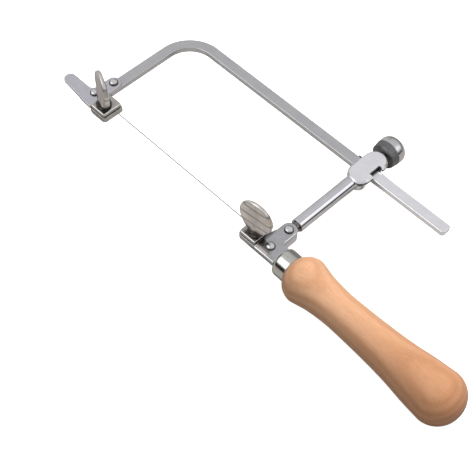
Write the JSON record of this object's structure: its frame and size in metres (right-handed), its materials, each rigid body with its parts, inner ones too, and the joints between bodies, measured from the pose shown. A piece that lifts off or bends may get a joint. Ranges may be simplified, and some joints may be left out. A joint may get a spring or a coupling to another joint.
{
  "type": "jeweler's saw frame",
  "caption": "Adjustable jeweler's saw frame: flat-bar bow sliding in a rod-mounted lock block, screw clamps that hold a fine blade, and a turned wooden handle.",
  "frame": {"origin": "middle of the bottom of the bounding box, with the saw laid flat", "axes": "+X along the blade towards the handle, +Y from the blade towards the spine, +Z square to the frame on the side of the clamp screws"},
  "size_m": [0.2758, 0.1108, 0.0399],
  "materials": {
    "frame_chrome": "polished",
    "block_chrome": "satin",
    "plate_steel": "satin nickel plate",
    "rivet_chrome": "polished",
    "clamp_nickel": "worn nickel plate",
    "knob_chrome": "polished",
    "stud_steel": "machined",
    "ferrule_chrome": "polished",
    "beech": "smooth clear lacquer",
    "blade_steel": "tempered"
  },
  "bodies": {
    "grip": {"slide_block": "block_chrome", "rear_rod": "frame_chrome", "rear_plate": "plate_steel", "rear_jaw_base": "plate_steel", "rear_rod_rivet": "rivet_chrome", "rear_base_rivet": "rivet_chrome", "ferrule": "ferrule_chrome", "handle": "beech", "saw_blade": "blade_steel"},
    "bow": {"frame_bow": "frame_chrome", "front_plate": "plate_steel", "front_jaw_base": "plate_steel", "front_arm_rivet": "rivet_chrome", "front_tongue_rivet": "rivet_chrome"},
    "front_jaw": {"front_jaw_pad": "clamp_nickel"},
    "front_screw": {"front_wing_screw": "clamp_nickel"},
    "rear_jaw": {"rear_jaw_pad": "clamp_nickel"},
    "rear_screw": {"rear_wing_screw": "clamp_nickel"},
    "shoe": {"lock_shoe": "stud_steel"},
    "lock_screw": {"lock_stud": "stud_steel", "lock_knob": "knob_chrome"}
  },
  "joints": [
    {"name": "frame_slide", "type": "slide", "parent": "grip", "child": "bow", "axis": [-1, 0, 0], "range_m": [0, 0.038]},
    {"name": "front_jaw_lift", "type": "slide", "parent": "bow", "child": "front_jaw", "axis": [0, 0, 1], "range_m": [0, 0.0024]},
    {"name": "front_screw_turn", "type": "hinge", "parent": "front_jaw", "child": "front_screw", "pos_m": [-0.10724, -0.03946, 0.01785], "axis": [0, 0, 1], "range_deg": [0, 1170]},
    {"name": "rear_jaw_lift", "type": "slide", "parent": "grip", "child": "rear_jaw", "axis": [0, 0, 1], "range_m": [0, 0.0024]},
    {"name": "rear_screw_turn", "type": "hinge", "parent": "rear_jaw", "child": "rear_screw", "pos_m": [0.00656, -0.03946, 0.01785], "axis": [0, 0, 1], "range_deg": [0, 1170]},
    {"name": "shoe_lift", "type": "slide", "parent": "grip", "child": "shoe", "axis": [0, 1, 0], "range_m": [0, 0.00072]},
    {"name": "lock_turn", "type": "hinge", "parent": "shoe", "child": "lock_screw", "pos_m": [0.01606, 0.04344, 0.01375], "axis": [0, 1, 0], "range_deg": [0, 315]}
  ],
  "couplings": [
    {"joint": "front_jaw_lift", "follows": "front_screw_turn", "m_per_rad": 0.00011141},
    {"joint": "rear_jaw_lift", "follows": "rear_screw_turn", "m_per_rad": 0.00011141},
    {"joint": "shoe_lift", "follows": "lock_turn", "m_per_rad": 0.00012732}
  ]
}
